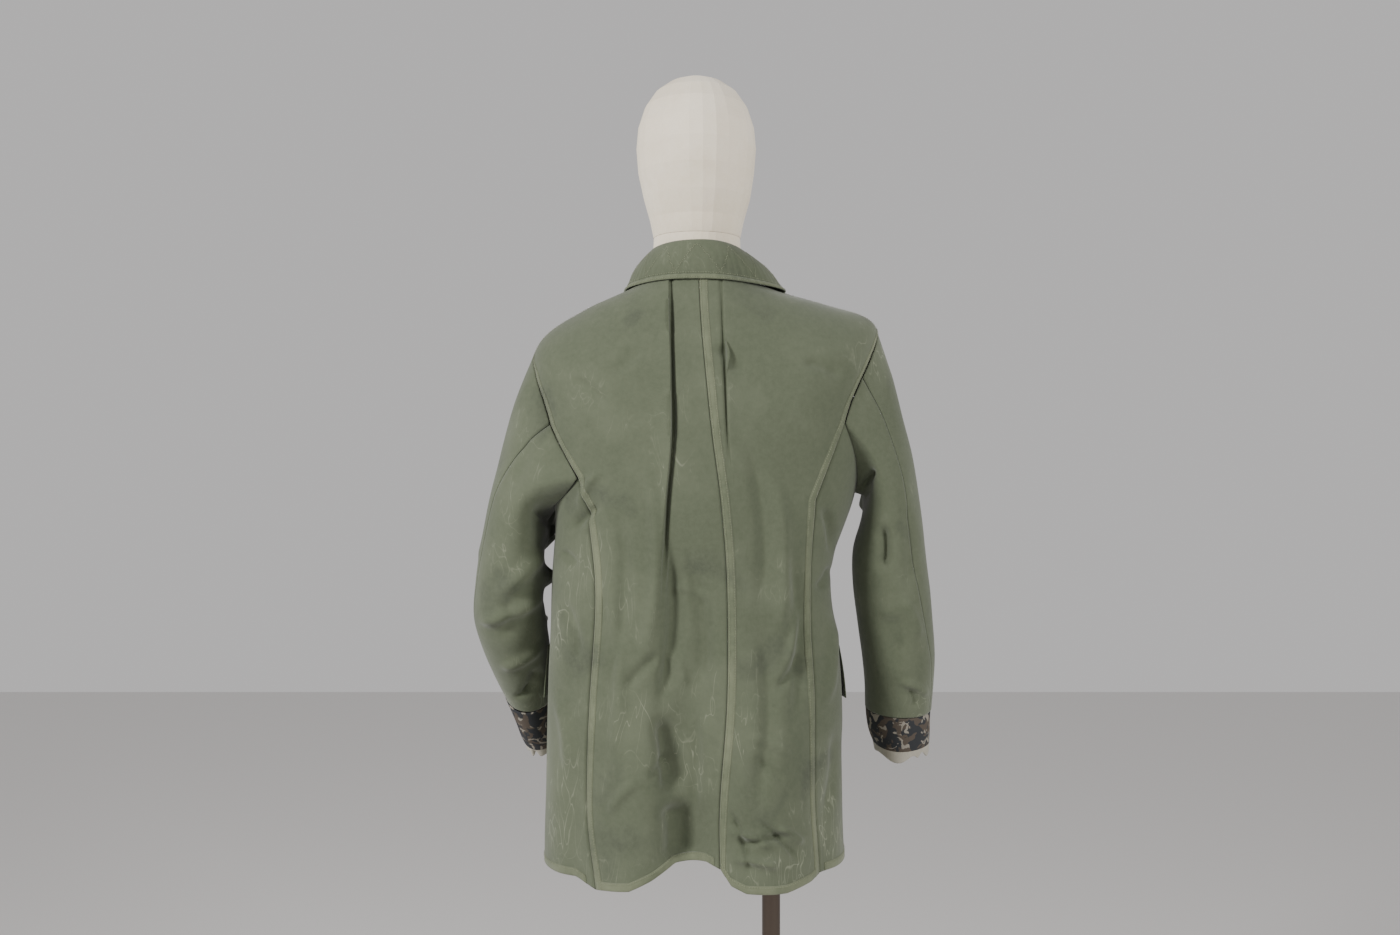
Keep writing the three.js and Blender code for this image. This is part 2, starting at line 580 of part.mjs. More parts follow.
function formPoint(angle, row) {
  const p = bodyPlain(angle, row);
  const towardsSide = Math.sin(angle) ** 2;
  const onShoulder = smooth((towardsSide - 0.55) / 0.4) * smooth((row - 5.9) / 0.5) * smooth((8.1 - row) / 0.4);
  const slack = 20 + 16 * smooth((4.2 - row) / 1.6);
  const clear = mix(slack * mix(1, 0.6, smooth((row - 6) / 2)), 3.4, onShoulder);
  const step = 0.02;
  const a = bodySmooth(angle + step, row).sub(bodySmooth(angle - step, row));
  const b = bodySmooth(angle, row + step).sub(bodySmooth(angle, row - step));
  const base = onShoulder > 0 ? p : bodySmooth(angle, row);
  return base.addScaledVector(a.cross(b).normalize(), -clear);
}

// The body's sections without flutes or the uneven hem.
function bodySmooth(angle, row) {
  const side = angle < 0 ? "left" : "right";
  const backHalf = Math.cos(angle) >= 0;
  return V(
    column(SECTIONS, side, row) * across(angle),
    -column(SECTIONS, backHalf ? "back" : "front", row) * along(angle),
    mix(
      column(SECTIONS, backHalf ? "zBack" : "zFront", row),
      column(SECTIONS, side === "left" ? "zLeft" : "zRight", row),
      Math.sin(angle) ** 2,
    ),
  );
}

const roundAngles = (count) => Array.from({ length: count }, (_, j) => ((j + 0.5) / count) * 2 * Math.PI - Math.PI);
const ovalRing = (r, count) =>
  roundAngles(count).map((a) => {
    const reach = Math.cos(a) >= 0 ? r.back : r.front;
    return V((r.middle ?? 0) + r.half * Math.sin(a), -reach * Math.cos(a), r.z);
  });

function torsoForm() {
  const rings = FORM_ROWS.map((row) => roundAngles(FORM_SIDES).map((a) => formPoint(a, row)));
  const floor = rings[0].reduce((low, p) => Math.min(low, p.z), Infinity);
  rings[0].forEach((p) => p.setZ(floor));
  NECK_RINGS.forEach((r) => rings.push(ovalRing(r, FORM_SIDES)));
  return { geometry: solidOfRings(rings, V(0, 0, floor), V(0, -4, NECK_SEAM)), floor };
}

function lathe(profile, x, y, sides = 40) {
  const points = profile.map(([r, h]) => new THREE.Vector2(r, h));
  const mesh = new THREE.Mesh(new THREE.LatheGeometry(points, sides));
  mesh.rotation.x = Math.PI / 2;
  mesh.position.set(x, y, 0);
  return mesh;
}

// ---- the assembly -----------------------------------------------------------------------------------------------
const canvas = new THREE.MeshStandardMaterial({ color: 0x6b7460, roughness: 0.92, metalness: 0 });
const lining = new THREE.MeshStandardMaterial({ color: 0x2f302f, roughness: 0.9, metalness: 0 });
const binding = new THREE.MeshStandardMaterial({ color: 0x8d877b, roughness: 0.95, metalness: 0 });
const horn = new THREE.MeshStandardMaterial({ color: 0x3d3a2c, roughness: 0.5, metalness: 0 });
const linen = new THREE.MeshStandardMaterial({ color: 0xe4d8c4, roughness: 0.9, metalness: 0 });
const bronze = new THREE.MeshStandardMaterial({ color: 0x4e463d, roughness: 0.4, metalness: 0.8 });

const jacket = new THREE.Group();
const form = new THREE.Group();
const stand = new THREE.Group();

function add(group, name, geometryOrMesh, material) {
  const mesh = geometryOrMesh.isMesh ? geometryOrMesh : new THREE.Mesh(geometryOrMesh);
  mesh.material = material;
  mesh.name = name;
  group.add(mesh);
}

Object.entries(ARMHOLES).forEach(([side, hole]) => {
  add(jacket, `back_${side}`, wall(trimmed(backPanel(hole), { top: true })), canvas);
  add(jacket, `front_${side}`, wall(trimmed(frontPanel(hole), { top: true })), canvas);
  add(jacket, `side_${side}`, wall(trimmed(sidePanel(hole), { top: true, extra: hole.sign < 0 ? 2.2 : 0.4 })), canvas);

  // Each sleeve is cut in two: the top sleeve over the outside, the under sleeve towards the body.
  const { rows, angles } = sleeveGrid(hole, SLEEVES[side]);
  const count = angles.length;
  const backSeam = hole.rows.length - 3;
  const frontSeam = count - (hole.rows.length - 3);
  const wrap = (from, to) => Array.from({ length: to - from + 1 }, (_, k) => (from + k + count) % count);
  const pick = (columns) =>
    rows.map((line) => {
      const points = columns.map((j) => line[j]);
      return hole.sign < 0 ? points : points.reverse();
    });
  const faceOut = (grid) => grid.map((line) => line.slice().reverse());
  const edges = { top: true, bottom: true };
  add(jacket, `sleeve_top_${side}`, wall(trimmed(faceOut(pick(wrap(frontSeam - count, backSeam))), edges)), canvas);
  add(jacket, `sleeve_under_${side}`, wall(trimmed(faceOut(pick(wrap(backSeam, frontSeam))), edges)), canvas);

  // A cuff part goes on from the section that the part above it ends with.
  const ring = (above, table) => {
    const grid = tubeOf([above[above.length - 1], ...table], angles);
    return trimmed(hole.sign < 0 ? faceOut(grid) : grid, { sides: false, top: true });
  };
  add(jacket, `cuff_lining_${side}`, wall(ring(SLEEVES[side], CUFFS[side]), { closed: true }), lining);
  add(jacket, `cuff_binding_${side}`, wall(ring(CUFFS[side], BINDINGS[side]), { closed: true }), binding);

  add(jacket, `pocket_${side}`, wall(patch(POCKET, hole.sign, 6, 5)), canvas);
  add(jacket, `pocket_flap_${side}`, wall(patch(FLAP, hole.sign, 6, 3)), canvas);
});
add(jacket, "collar_stand", wall(standGrid()), canvas);
add(jacket, "collar_fall", wall(fallGrid()), canvas);
for (let n = 0; n < BUTTON.count; n += 1) add(jacket, `button_${n + 1}`, buttonMesh(n), horn);

const torso = torsoForm();
add(form, "form_torso", torso.geometry, linen);
const headRings = HEAD.map((r) => ovalRing(r, HEAD_SIDES));
const headTop = V(HEAD_TOP.x, HEAD_TOP.y, HEAD_TOP.z);
add(form, "form_head", solidOfRings(headRings, V(0, -4, HEAD[0].z), headTop), linen);

const flangeTop = torso.floor - 0.3;
add(stand, "base_plate", lathe([[0, 0], [BASE.radius, 0], [BASE.radius, BASE.thick - 2], [BASE.radius - 2, BASE.thick], [0, BASE.thick]], 0, 0, 64), bronze);
add(stand, "pole_socket", lathe([[0, BASE.thick], [32, BASE.thick], [32, BASE.thick + 4], [18, BASE.thick + 10], [18, BASE.thick + 44], [0, BASE.thick + 44]], POLE.x, POLE.y), bronze);
add(stand, "pole", lathe([[0, BASE.thick + 44], [POLE.radius, BASE.thick + 44], [POLE.radius, flangeTop - 6], [0, flangeTop - 6]], POLE.x, POLE.y), bronze);
add(stand, "pole_flange", lathe([[0, flangeTop - 6], [34, flangeTop - 6], [34, flangeTop], [0, flangeTop]], POLE.x, POLE.y), bronze);

const part = new THREE.Group();
part.add(jacket, form, stand);
export default part;
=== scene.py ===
# %% [markdown]
# A worn cotton field jacket on a linen-covered dress form with a pole stand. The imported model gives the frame: every
# piece made here sits in the same metres as that model and rides on its one body.

import bpy
import numpy as np
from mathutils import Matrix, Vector


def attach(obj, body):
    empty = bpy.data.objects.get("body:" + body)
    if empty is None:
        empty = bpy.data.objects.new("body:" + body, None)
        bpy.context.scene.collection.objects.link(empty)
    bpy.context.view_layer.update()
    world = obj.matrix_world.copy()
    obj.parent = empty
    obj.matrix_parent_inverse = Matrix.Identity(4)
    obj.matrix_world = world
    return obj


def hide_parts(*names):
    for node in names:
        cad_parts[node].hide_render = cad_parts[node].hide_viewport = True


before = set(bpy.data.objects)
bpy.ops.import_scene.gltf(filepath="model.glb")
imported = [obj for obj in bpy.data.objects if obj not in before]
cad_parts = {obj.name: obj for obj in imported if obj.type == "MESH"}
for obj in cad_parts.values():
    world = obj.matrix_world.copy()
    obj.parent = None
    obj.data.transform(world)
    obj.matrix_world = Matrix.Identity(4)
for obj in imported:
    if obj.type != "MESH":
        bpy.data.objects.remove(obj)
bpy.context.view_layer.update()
MM = 0.001
rng = np.random.default_rng(7)
scene = bpy.context.scene
print("nodes", len(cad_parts))

# %% [markdown]
# The body of a jacket is a tube of cloth that changes from section to section. Each row below is one section, from
# the hem up to the neckline, in millimetres. A smooth curve through each column gives every height between.

# %% Body sections
NAMES = "z_back z_left z_right z_front left right back front centre pleat_l pleat_r seam_l seam_r".split()
SECTIONS = np.array([
    [780, 774, 781, 782, 199, 194, 148, 138, 29, -46, 52, -124, 152],  # hem
    [870, 870, 870, 870, 198, 190, 142, 136, 28, -45, 50, -137, 148],  # hip
    [1000, 1000, 1000, 1000, 195, 191, 133, 132, 37, -44, 56, -133, 147],  # seat
    [1140, 1140, 1140, 1140, 190, 176, 126, 128, 37, -42, 54, -127, 143],  # waist
    [1240, 1236, 1254, 1240, 187, 208, 127, 128, 30, -36, 44, -138, 149],  # underarm
    [1325, 1345, 1368, 1320, 205, 222, 127, 118, 19, -29, 38, -160, 189],  # blade
    [1402, 1439, 1469, 1385, 212, 235, 117, 94, 11, -30, 35, 0, 0],  # shoulder point
    [1473, 1492, 1500, 1428, 150, 165, 97, 74, 5, -32, 32, 0, 0],  # mid shoulder
    [1536, 1521, 1523, 1455, 76, 84, 75, 66, 2, -33, 30, 0, 0],  # neckline
], float)
HEM_BACK = np.array([[-200, 774], [-150, 777], [-125, 768], [-82, 772], [-55, 784], [-25, 801], [12, 803], [30, 797],
                     [42, 779], [60, 771], [110, 769], [142, 775], [152, 781], [195, 781]], float)
HEM_FRONT = np.array([[-200, 774], [-120, 770], [-60, 779], [20, 774], [80, 782], [130, 774], [195, 781]], float)
# flutes that open towards the hem: x at the hem, x at the top, height of the top, half width, depth
FLUTES_BACK = [[-88, -70, 1180, 40, 12], [-6, -12, 1260, 30, -26], [92, 80, 1180, 52, 20], [158, 152, 1050, 16, -9],
               [-150, -150, 1100, 18, -7]]
FLUTES_FRONT = [[-118, -90, 1200, 34, 10], [-66, -56, 1150, 26, -8], [76, 66, 1150, 26, -9], [132, 100, 1180, 30, 10]]
ROUNDNESS = 2 / 2.4  # exponent of the super-ellipse of every section


def smooth(t):
    """Nought below 0, one above 1, and an S-curve between."""
    t = np.clip(t, 0, 1)
    return t * t * (3 - 2 * t)


def column(table, k, row):
    """A table column as a smooth curve over the row number: a Catmull-Rom spline through its values."""
    values = table[:, k]
    padded = np.concatenate([[2 * values[0] - values[1]], values, [2 * values[-1] - values[-2]]])
    i = np.clip(np.floor(row).astype(int), 0, len(values) - 2)
    t = row - i
    a, b, c, d = padded[i], padded[i + 1], padded[i + 2], padded[i + 3]
    return b + 0.5 * t * (c - a + t * (2 * a - 5 * b + 4 * c - d + t * (3 * (b - c) + d - a)))


def section(name, row):
    return column(SECTIONS, NAMES.index(name), row)


def round_off(value):
    return np.sign(value) * np.abs(value) ** ROUNDNESS


def reach(angle, row):
    return np.where(angle < 0, section("left", row), section("right", row))


def angle_of(x, row, front=False):
    """The turn about the axis, from the centre back, at which a section passes x."""
    a = np.arcsin(np.clip(np.abs(x) / reach(x, row), 0, 1) ** (1 / ROUNDNESS))
    return np.sign(x) * (np.pi - a if front else a)


def body_plain(angle, row):
    """Cloth of the body: a super-ellipse section, its height eased from the centre to the side, plus its flutes."""
    behind = np.cos(angle) >= 0
    x = reach(angle, row) * round_off(np.sin(angle))
    y = -np.where(behind, section("back", row), section("front", row)) * round_off(np.cos(angle))
    rise = np.sin(angle) ** 2

    def height(r):
        middle = np.where(behind, section("z_back", r), section("z_front", r))
        return middle + (np.where(angle < 0, section("z_left", r), section("z_right", r)) - middle) * rise

    z = height(row)
    hem = np.where(behind, np.interp(x, *HEM_BACK.T), np.interp(x, *HEM_FRONT.T))
    z = z + (hem - height(row * 0)) * np.clip(1 - row, 0, 1)
    fold = 0
    for flutes, here in ((FLUTES_BACK, behind), (FLUTES_FRONT, ~behind)):
        for x_hem, x_top, top, half, depth in flutes:
            opened = smooth((top - z) / (top - 800))
            middle = x_top + (x_hem - x_top) * opened
            fold = fold + here * depth * opened * np.exp(-(((x - middle) / half) ** 2))
    fold = fold * np.sqrt(np.abs(np.cos(angle)))
    return np.stack([x, y + np.where(behind, -fold, fold), z], -1)


def body(angle, row, lift=0.0):
    """Body cloth moved out along its own outward direction by lift."""
    step = 0.02
    angle, row = np.broadcast_arrays(angle, row)
    a = body_plain(angle + step, row) - body_plain(angle - step, row)
    b = body_plain(angle, np.minimum(8, row + step)) - body_plain(angle, np.maximum(0, row - step))
    n = np.cross(a, b)
    n /= np.linalg.norm(n, axis=-1, keepdims=True)
    return body_plain(angle, row) + n * np.asarray(lift)[..., None]


# %% [markdown]
# Old heavy cotton keeps the creases of its folding and wearing. Each row below is one of them, drawn where it lies
# on the cloth: a line from one point to another, a half width and a depth, with a minus for a trough. They differ in
# length, width and depth, because real creases never repeat.

# %% Creases as ridges and troughs along lines
# x and z of the start, x and z of the end, half width, depth
BACK_CREASES = [
    [-36, 1200, -46, 985, 10, -5.5], [-46, 985, -30, 880, 13, -9], [-30, 880, -22, 800, 16, -8],
    [-62, 1300, -70, 1030, 9, 2.5], [-98, 1250, -112, 1000, 8, -2.2], [-118, 1180, -106, 900, 9, 2.4],
    [-90, 1010, -40, 1060, 7, -2.4], [-40, 1070, -12, 1010, 6, 2], [-10, 1180, 4, 1000, 9, -3],
    [8, 1000, 4, 850, 10, 3], [60, 1330, 78, 1100, 10, -2.5], [92, 1290, 100, 1060, 10, 2.2],
    [78, 1100, 70, 860, 11, -3], [112, 1200, 118, 960, 8, -2.6], [128, 1120, 104, 1030, 6, 2.2],
    [136, 1060, 96, 1010, 6, -2.6], [40, 845, 92, 826, 5, 3.6], [52, 828, 118, 836, 4, -3.2],
    [44, 812, 104, 800, 5, 3.4], [70, 862, 128, 800, 4, -2.8], [96, 850, 132, 822, 4, 2.6],
    [38, 870, 66, 790, 4, -2.4], [-60, 905, -20, 930, 6, -2.4], [-110, 860, -70, 905, 6, 2],
    [-150, 1230, -120, 1285, 6, 2.6], [-158, 1205, -118, 1240, 6, -3], [-172, 1120, -150, 1040, 8, -3],
    [-180, 1000, -160, 900, 9, 3], [-176, 1180, -150, 1160, 5, -2.5], [158, 1240, 176, 1170, 7, -3.5],
    [176, 1160, 150, 1130, 6, -3], [172, 1100, 160, 980, 8, 3], [178, 960, 160, 840, 9, -3.4],
    [20, 1440, 60, 1400, 8, -1.8], [-70, 1440, -110, 1400, 8, -1.6], [130, 1420, 185, 1400, 7, -2],
    [-160, 1400, -110, 1360, 7, -1.8], [-30, 1140, 20, 1120, 5, 1.5], [60, 960, 120, 930, 5, 1.8],
    [64, 935, 110, 900, 4, -1.8],
]
FRONT_CREASES = [
    [-60, 1380, -90, 1200, 9, -3], [-110, 1300, -96, 1080, 9, 2.6], [70, 1370, 96, 1180, 9, -3],
    [120, 1290, 104, 1060, 9, 2.6], [-30, 1240, -60, 1180, 6, -2.4], [34, 1130, 70, 1060, 6, -2.4],
    [-50, 960, -56, 800, 10, -3], [56, 980, 64, 800, 10, -3], [-140, 1180, -110, 1120, 7, -2.6],
    [140, 1170, 110, 1100, 7, -2.6], [-30, 1100, -34, 860, 8, 2], [36, 1260, 30, 1000, 8, 2],
]
LEFT_SLEEVE_CREASES = [
    [-196, 1225, -250, 1150, 9, -9], [-190, 1196, -262, 1118, 8, 7], [-192, 1160, -270, 1092, 8, -9],
    [-200, 1120, -290, 1084, 8, 8], [-204, 1082, -284, 1050, 7, -9], [-206, 1050, -262, 1020, 7, 6],
    [-190, 1215, -232, 1240, 7, -6], [-214, 1330, -240, 1250, 10, -3], [-236, 1330, -262, 1240, 9, 3],
    [-212, 1020, -236, 975, 7, -7], [-284, 1160, -262, 1200, 8, -4], [-240, 1120, -252, 1060, 9, -5],
    [-226, 1006, -256, 985, 5, 5], [-214, 996, -250, 974, 4, -4],
]
RIGHT_SLEEVE_CREASES = [
    [234, 1310, 238, 1215, 8, -13], [238, 1215, 238, 1150, 7, -11], [238, 1150, 252, 1100, 7, -9],
    [252, 1100, 262, 1040, 8, -5], [222, 1300, 228, 1250, 5, 7], [226, 1286, 214, 1258, 4, -8],
    [250, 1340, 262, 1200, 10, 4], [262, 1250, 272, 1120, 9, -3], [222, 1190, 244, 1130, 6, 5],
    [262, 1120, 290, 1060, 7, 4], [272, 1160, 302, 1110, 7, -3], [236, 1100, 262, 1020, 7, -4],
    [258, 1040, 300, 1000, 6, -4], [262, 1010, 306, 985, 5, 4], [236, 1010, 262, 972, 6, -4],
    [276, 1000, 286, 970, 5, -5], [244, 1420, 236, 1340, 8, -7],
]


CREASE_DEPTH = 2.3


def crease(points, rows):
    """Sum of the creases at the points: a soft bell across each line that fades beyond the line's ends."""
    total = np.zeros(points.shape[:-1])
    for x1, z1, x2, z2, half, depth in rows:
        ax, az = x2 - x1, z2 - z1
        length = np.hypot(ax, az)
        px, pz = points[..., 0] - x1, points[..., 2] - z1
        along = (px * ax + pz * az) / length**2
        off = (px * az - pz * ax) / length
        off = off + 0.06 * length * np.sin(np.pi * np.clip(along, 0, 1))
        share = along * 2 - 1
        ends = np.exp(-np.maximum(0, np.abs(share) - 0.45) ** 2 * 9)
        total += CREASE_DEPTH * depth * np.exp(-((off / half) ** 2)) * ends
    return total


def rumple(points, size, depth):
    """Low uneven swelling of washed cloth: a few crossed waves of unlike direction and length."""
    x, y, z = np.moveaxis(points, -1, 0)
    first = np.sin(x / size + 1.3 * np.sin(z / size / 1.9))
    second = np.sin(z / size / 1.6 + y / size + 2 * np.sin(x / size / 2.3))
    return depth * 0.5 * (first + second)


def normals_of(grid):
    a = np.gradient(grid, axis=1)
    b = np.gradient(grid, axis=0)
    n = np.cross(a, b)
    return n / np.maximum(np.linalg.norm(n, axis=-1, keepdims=True), 1e-9)


def creased(grid, rows, front_rows=(), size=19, depth=1.1):
    """Moves each point along its outward direction by the creases of the side that it faces."""
    n = normals_of(grid)
    faces_back = smooth(0.5 - n[..., 1] * 1.4)
    push = crease(grid, rows) * faces_back + rumple(grid, size, depth)
    if len(front_rows):
        push = push + crease(grid, front_rows) * (1 - faces_back)
    return grid + n * push[..., None]


# %% [markdown]
# A piece of cloth here is a grid of points. The grid becomes a mesh whose faces look outwards, with a map of real
# millimetres for its weave, and a Solidify modifier gives it its thickness on the inside.

# %% A grid becomes cloth
def mesh_piece(name, points, faces, material, uv=None):
    name = name.replace(" ", "-").replace("_", "-")
    mesh = bpy.data.meshes.new(name)
    mesh.from_pydata((points * MM).tolist(), [], faces.tolist())
    if uv is not None:
        layer = mesh.uv_layers.new(name="cloth")
        layer.data.foreach_set("uv", uv[faces.ravel()].ravel())
    mesh.polygons.foreach_set("use_smooth", np.ones(len(mesh.polygons), bool))
    mesh.materials.append(material)
    mesh.update()
    obj = bpy.data.objects.new(name, mesh)
    scene.collection.objects.link(obj)
    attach(obj, "root")
    return obj


def grid_faces(rows, cols, closed=False):
    i, j = np.meshgrid(np.arange(rows - 1), np.arange(cols if closed else cols - 1), indexing="ij")
    k = (j + 1) % cols
    return np.stack([i * cols + j, i * cols + k, (i + 1) * cols + k, (i + 1) * cols + j], -1).reshape(-1, 4)


def cloth(name, grid, material, thick=1.3, closed=False):
    rows, cols = grid.shape[:2]
    across = np.linalg.norm(np.diff(grid, axis=1, prepend=grid[:, :1]), axis=-1).cumsum(1)
    up = np.linalg.norm(np.diff(grid, axis=0, prepend=grid[:1]), axis=-1).cumsum(0)
    uv = np.stack([across, up], -1).reshape(-1, 2) * MM
    obj = mesh_piece(name, grid.reshape(-1, 3), grid_faces(rows, cols, closed), material, uv)
    wall = obj.modifiers.new("wall", "SOLIDIFY")
    wall.thickness = thick * MM
    wall.offset = -1
    return obj


# %% [markdown]
# The jacket is heavy cotton canvas, dyed green, then washed until it faded unevenly. Its raised edges and seams have
# worn almost white, and fine pale scratches cross the back. Colour comes from position, so that it stays put.

# %% Materials
def linear(code):
    """sRGB hex to linear: each channel is raised by the display curve."""
    c = np.array([int(code[i:i + 2], 16) for i in (0, 2, 4)]) / 255
    return (*np.where(c <= 0.04045, c / 12.92, ((c + 0.055) / 1.055) ** 2.4), 1.0)


def node(material, kind, links=(), **settings):
    """Adds one node; settings are its attributes or its inputs' values, links are (input, output socket) pairs."""
    made = material.node_tree.nodes.new(kind)
    for key, value in settings.items():
        if hasattr(made, key):
            setattr(made, key, value)
        else:
            made.inputs[key.replace("_", " ")].default_value = value
    for name, socket in links:
        material.node_tree.links.new(socket, made.inputs[name])
    return made


def new_material(name, roughness, metallic=0.0):
    material = bpy.data.materials.new(name)
    material.use_nodes = True
    shader = material.node_tree.nodes["Principled BSDF"]
    shader.inputs["Roughness"].default_value = roughness
    shader.inputs["Metallic"].default_value = metallic
    return material, shader


def ramp(material, value, low, high):
    """Nought below low, one above high."""
    return node(material, "ShaderNodeMapRange", [("Value", value)], From_Min=low, From_Max=high).outputs["Result"]


def blend_colour(material, factor, a, b, kind="MIX"):
    mix = node(material, "ShaderNodeMix", data_type="RGBA", blend_type=kind)
    for index, value in ((0, factor), (6, a), (7, b)):
        if isinstance(value, (tuple, float)):
            mix.inputs[index].default_value = value
        else:
            material.node_tree.links.new(value, mix.inputs[index])
    return mix.outputs[2]


THREAD = 0.9 * MM  # drawn about twice as coarse as the real 0.4 mm yarn, so that it shows


def woven(name, base, faded, dark, scratch=0.0, roughness=0.92):
    """A plain weave: two crossed sets of waves for the yarns, faded and stained by three sizes of noise."""
    material, shader = new_material(name, roughness)
    place = node(material, "ShaderNodeTexCoord")
    spot, uv = place.outputs["Object"], place.outputs["UV"]
    broad = node(material, "ShaderNodeTexNoise", [("Vector", spot)], Scale=7.0, Detail=5.0, Roughness=0.62)
    fine = node(material, "ShaderNodeTexNoise", [("Vector", spot)], Scale=160.0, Detail=4.0, Roughness=0.7)
    colour = blend_colour(material, ramp(material, broad.outputs["Fac"], 0.42, 0.72), linear(base), linear(faded))
    stain = node(material, "ShaderNodeTexNoise", [("Vector", spot)], Scale=11.0, Detail=3.0, Distortion=0.6)
    colour = blend_colour(material, ramp(material, stain.outputs["Fac"], 0.6, 0.85), colour, linear(dark))
    colour = blend_colour(material, ramp(material, fine.outputs["Fac"], 0.35, 1.3), colour, linear(faded))
    if scratch:
        for angle, size, least in ((0.5, 9.0, 0.028), (-0.7, 7.0, 0.024), (1.4, 6.0, 0.02)):
            turned = node(material, "ShaderNodeMapping", [("Vector", spot)])
            turned.inputs["Rotation"].default_value = (0, angle, 0)
            turned.inputs["Scale"].default_value = (size, size, size * 0.28)
            lines = node(material, "ShaderNodeTexNoise", [("Vector", turned.outputs["Vector"])],
                         Scale=3.2, Detail=2.0, Distortion=1.1)
            away = node(material, "ShaderNodeMath", operation="SUBTRACT", links=[(0, lines.outputs["Fac"])])
            away.inputs[1].default_value = 0.5
            near = node(material, "ShaderNodeMath", operation="ABSOLUTE", links=[(0, away.outputs[0])])
            line = ramp(material, near.outputs[0], least * 0.25, 0.0)
            patch = ramp(material, broad.outputs["Fac"], 0.5, 0.7)
            both = node(material, "ShaderNodeMath", operation="MULTIPLY", links=[(0, line), (1, patch)])
            weak = node(material, "ShaderNodeMath", operation="MULTIPLY", links=[(0, both.outputs[0])])
            weak.inputs[1].default_value = scratch
            colour = blend_colour(material, weak.outputs[0], colour, linear("a6aa92"))
    material.node_tree.links.new(colour, shader.inputs["Base Color"])
    height = None
    for direction in ("X", "Y"):
        yarn = node(material, "ShaderNodeTexWave", [("Vector", uv)],
                    bands_direction=direction, Scale=1 / THREAD / 6.3, Distortion=0.3)
        if height is None:
            height = yarn.outputs["Fac"]
        else:
            both = node(material, "ShaderNodeMath", operation="ADD", links=[(0, height), (1, yarn.outputs["Fac"])])
            height = both.outputs[0]
    bump = node(material, "ShaderNodeBump", [("Height", height)], Strength=0.22, Distance=0.25 * MM)
    slub = node(material, "ShaderNodeBump", [("Height", fine.outputs["Fac"]), ("Normal", bump.outputs["Normal"])],
                Strength=0.35, Distance=0.8 * MM)
    material.node_tree.links.new(slub.outputs["Normal"], shader.inputs["Normal"])
    shader.inputs["Sheen Weight"].default_value = 0.18
    return material


canvas = woven("washed green cotton canvas", "4b523e", "5d634f", "373c2f", scratch=0.5)
worn = woven("worn cotton at seams and edges", "535a45", "73785f", "41463a")
linen = woven("unbleached linen cover", "e2d5bd", "ede3d0", "d2c4aa")
binding = woven("raw beige cotton edge", "8e897c", "aba698", "5c564b")


def camouflage():
    """Printed cotton: a blue-black ground with brown and grey-beige blotches cut from two noises."""
    material, shader = new_material("printed camouflage cotton", 0.88)
    spot = node(material, "ShaderNodeTexCoord").outputs["Object"]
    one = node(material, "ShaderNodeTexNoise", [("Vector", spot)], Scale=48.0, Detail=2.5, Distortion=0.8)
    two = node(material, "ShaderNodeTexNoise", [("Vector", spot)], Scale=66.0, Detail=2.5, Distortion=1.2)
    brown = ramp(material, one.outputs["Fac"], 0.52, 0.54)
    colour = blend_colour(material, brown, linear("26282b"), linear("4a4138"))
    colour = blend_colour(material, ramp(material, two.outputs["Fac"], 0.58, 0.6), colour, linear("857f74"))
    material.node_tree.links.new(colour, shader.inputs["Base Color"])
    return material


lining = camouflage()
thread, thread_shader = new_material("pale cotton sewing thread", 0.8)
thread_shader.inputs["Base Color"].default_value = linear("8d9078")
bronze, bronze_shader = new_material("dark bronze lacquered steel", 0.38, 0.85)
bronze_shader.inputs["Base Color"].default_value = linear("5a5048")
horn, horn_shader = new_material("moulded urea button", 0.45)
horn_shader.inputs["Base Color"].default_value = linear("3c3929")

# %% [markdown]
# Each half of the back is one panel from the centre seam to the side seam, armhole and shoulder. A pleat beside the
# centre is a fold of cloth: its lip stands out over a dark slit, deepest at the top, and dies away lower down.

# %% Back, side and front panels
ARMHOLES = {  # rows from the underarm corner up: section number, angle behind and in front of the side, in degrees
    -1: np.array([[4.35, 42.5, 42], [4.65, 36, 38], [5, 27, 32], [5.35, 23, 27], [5.7, 16, 18], [6, 0, 0]], float),
    1: np.array([[4.9, 35, 38], [5.15, 32, 35], [5.4, 27, 30], [5.65, 20, 23], [5.85, 12, 14], [6, 0, 0]], float),
}
DIP = {-1: 2.4, 1: 1.5}
SIDE = {-1: "left", 1: "right"}
SEAM_STEP = 0.3  # half the clear gap between panels
SEAM_TURN = 0.002  # the same gap as a turn about the axis, for edges that may lie at the very side


def hole_x(sign, row, front):
    hole = ARMHOLES[sign]
    opened = np.where(row > 6, 0, np.interp(row, hole[:, 0], hole[:, 2 if front else 1]))
    return sign * reach(sign * np.ones_like(row), row) * round_off(np.sin(np.radians(90 - opened)))


def outer_edge(sign, row, front=False):
    """x of a panel's outer edge: the side seam, then the armhole, then the shoulder seam."""
    hole = ARMHOLES[sign]
    edge = hole_x(sign, row, front)
    if front:
        return edge
    seam = column(SECTIONS[:5], NAMES.index("seam_l" if sign < 0 else "seam_r"), np.minimum(row, 4))
    corner = hole_x(sign, hole[:1, 0], False)[0]
    easing = np.clip((row - 4) / (hole[0, 0] - 4), 0, 1)
    return np.where(row < hole[0, 0], seam + (corner - seam) * easing, edge)


def rows_for(low, high, step=0.028):
    return np.linspace(low, high, int((high - low) / step))[:, None]


